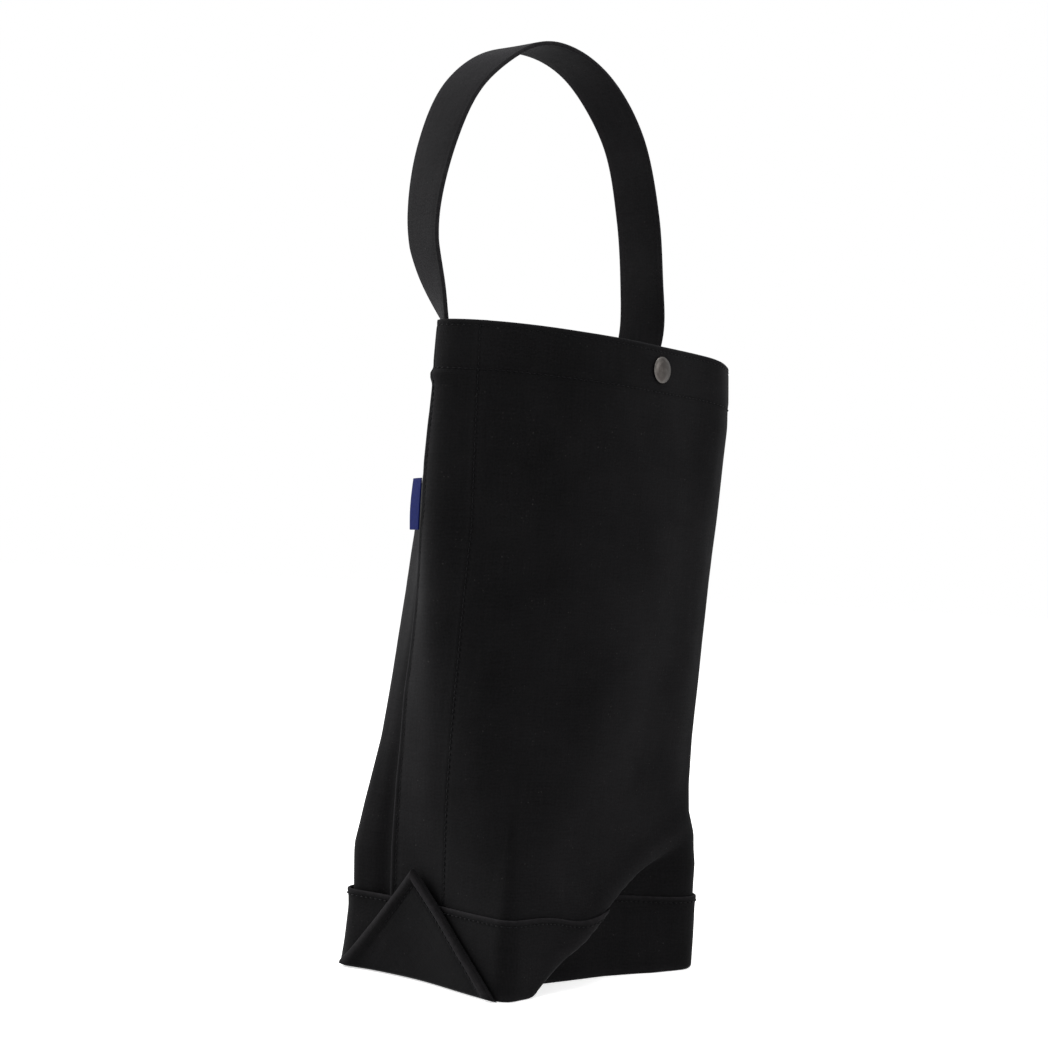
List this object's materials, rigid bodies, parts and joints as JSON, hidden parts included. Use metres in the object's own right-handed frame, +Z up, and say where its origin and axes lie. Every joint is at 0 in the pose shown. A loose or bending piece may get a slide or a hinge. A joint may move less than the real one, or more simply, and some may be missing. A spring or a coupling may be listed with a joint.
{
  "type": "shoe bag",
  "caption": "Tall soft canvas shoe bag with a boxed base, folded corner flaps, lapped side seams, one flat arched handle and a snap at the mouth.",
  "frame": {"origin": "on the floor, under the middle of the box round the whole bag with its handle up", "axes": "+Z up towards the handle, front (the side with the snap's cap) towards -Y, +X towards the side without the tag"},
  "size_m": [0.1868, 0.1488, 0.5019],
  "materials": {
    "canvas": "near-black cotton canvas, matte, fine plain weave",
    "strap_webbing": "near-black folded canvas strap, matte",
    "thread": "black sewing thread, slight sheen",
    "snap_cap": "dark gunmetal plating, softly polished",
    "snap_steel": "plain nickel plating",
    "tag": "woven navy ribbon, no lettering"
  },
  "bodies": {
    "bag": {"back_panel": "canvas", "base_band_stitches": "thread", "base_panel": "canvas", "front_panel": "canvas", "left_corner_flap": "canvas", "left_corner_flap_stitches": "thread", "left_edge_stitches": "thread", "left_handle_bend": "strap_webbing", "left_handle_end": "strap_webbing", "left_handle_stitches": "thread", "left_hem_stitches": "thread", "left_seam_back_stitches": "thread", "left_seam_front_stitches": "thread", "right_corner_flap": "canvas", "right_corner_flap_stitches": "thread", "right_edge_stitches": "thread", "right_handle_bend": "strap_webbing", "right_handle_end": "strap_webbing", "right_handle_stitches": "thread", "right_hem_stitches": "thread", "right_seam_back_stitches": "thread", "right_seam_front_stitches": "thread", "side_tag": "tag"},
    "front_mouth": {"front_mouth_panel": "canvas", "front_edge_stitches": "thread", "front_hem_stitches": "thread", "snap_cap": "snap_cap", "snap_socket": "snap_steel", "snap_spring": "snap_steel"},
    "back_mouth": {"back_mouth_panel": "canvas", "back_edge_stitches": "thread", "back_hem_stitches": "thread", "snap_stud": "snap_steel", "snap_back_cap": "snap_cap"},
    "handle": {"handle_strap": "strap_webbing"}
  },
  "joints": [
    {"name": "front_mouth_close", "type": "slide", "parent": "bag", "child": "front_mouth", "axis": [0, 1, 0], "range_m": [0, 0.0665]},
    {"name": "back_mouth_close", "type": "slide", "parent": "bag", "child": "back_mouth", "axis": [0, -1, 0], "range_m": [0, 0.0665]},
    {"name": "handle_swing", "type": "hinge", "parent": "bag", "child": "handle", "pos_m": [0, 0.0075, 0.344], "axis": [1, 0, 0], "range_deg": [-55, 55], "deforming": ["left_handle_bend", "right_handle_bend"]}
  ],
  "couplings": [
    {"joint": "back_mouth_close", "follows": "front_mouth_close", "ratio": 1}
  ]
}
